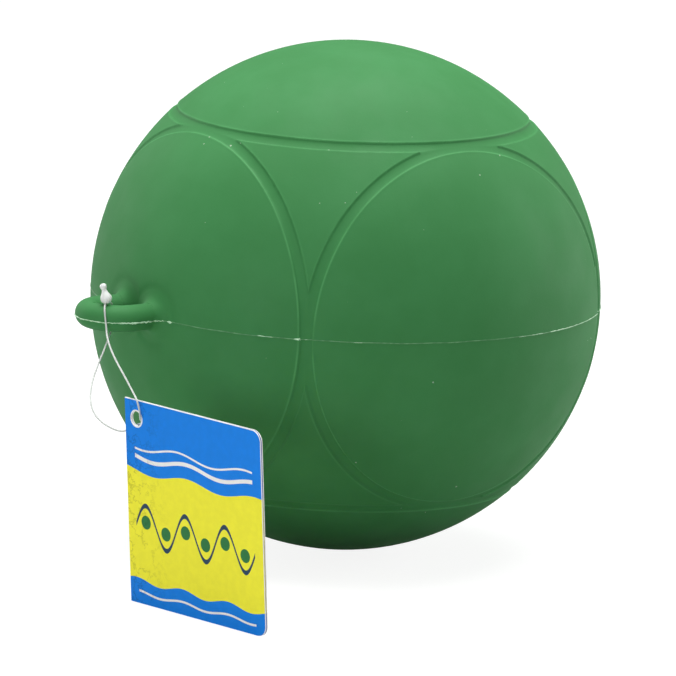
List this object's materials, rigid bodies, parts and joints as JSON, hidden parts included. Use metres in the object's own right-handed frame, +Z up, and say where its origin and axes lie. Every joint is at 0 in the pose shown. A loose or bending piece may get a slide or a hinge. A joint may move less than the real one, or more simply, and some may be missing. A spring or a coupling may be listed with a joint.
{
  "type": "slalom buoy",
  "caption": "Round moulded ball buoy with ring grooves, a moulded mooring loop, an inflation valve and a card hang tag that swings on a looped nylon pin.",
  "frame": {"origin": "centre of the ball, on the mould's parting plane, at the level where the buoy floats", "axes": "+Z up, square to the parting plane; -Y from the ball's centre to the mooring loop; +X completes the right-handed frame"},
  "size_m": [0.264, 0.2778, 0.2286],
  "materials": {
    "buoy_pvc": "satin moulded soft PVC",
    "valve_rubber": "matte soft plug",
    "tag_card": "coated printed card",
    "pin_nylon": "translucent nylon"
  },
  "bodies": {
    "buoy": {"ball_shell": "buoy_pvc", "mooring_loop": "buoy_pvc", "inflation_valve": "valve_rubber"},
    "tag_and_pin": {"hang_tag": "tag_card", "tag_pin_filament": "pin_nylon", "tag_pin_head": "pin_nylon"}
  },
  "joints": [
    {"name": "tag_swing", "type": "hinge", "parent": "buoy", "child": "tag_and_pin", "pos_m": [0.00722, -0.13558, 0.001], "axis": [-0.7986, -0.6018, 0], "range_deg": [-54, 120]}
  ]
}
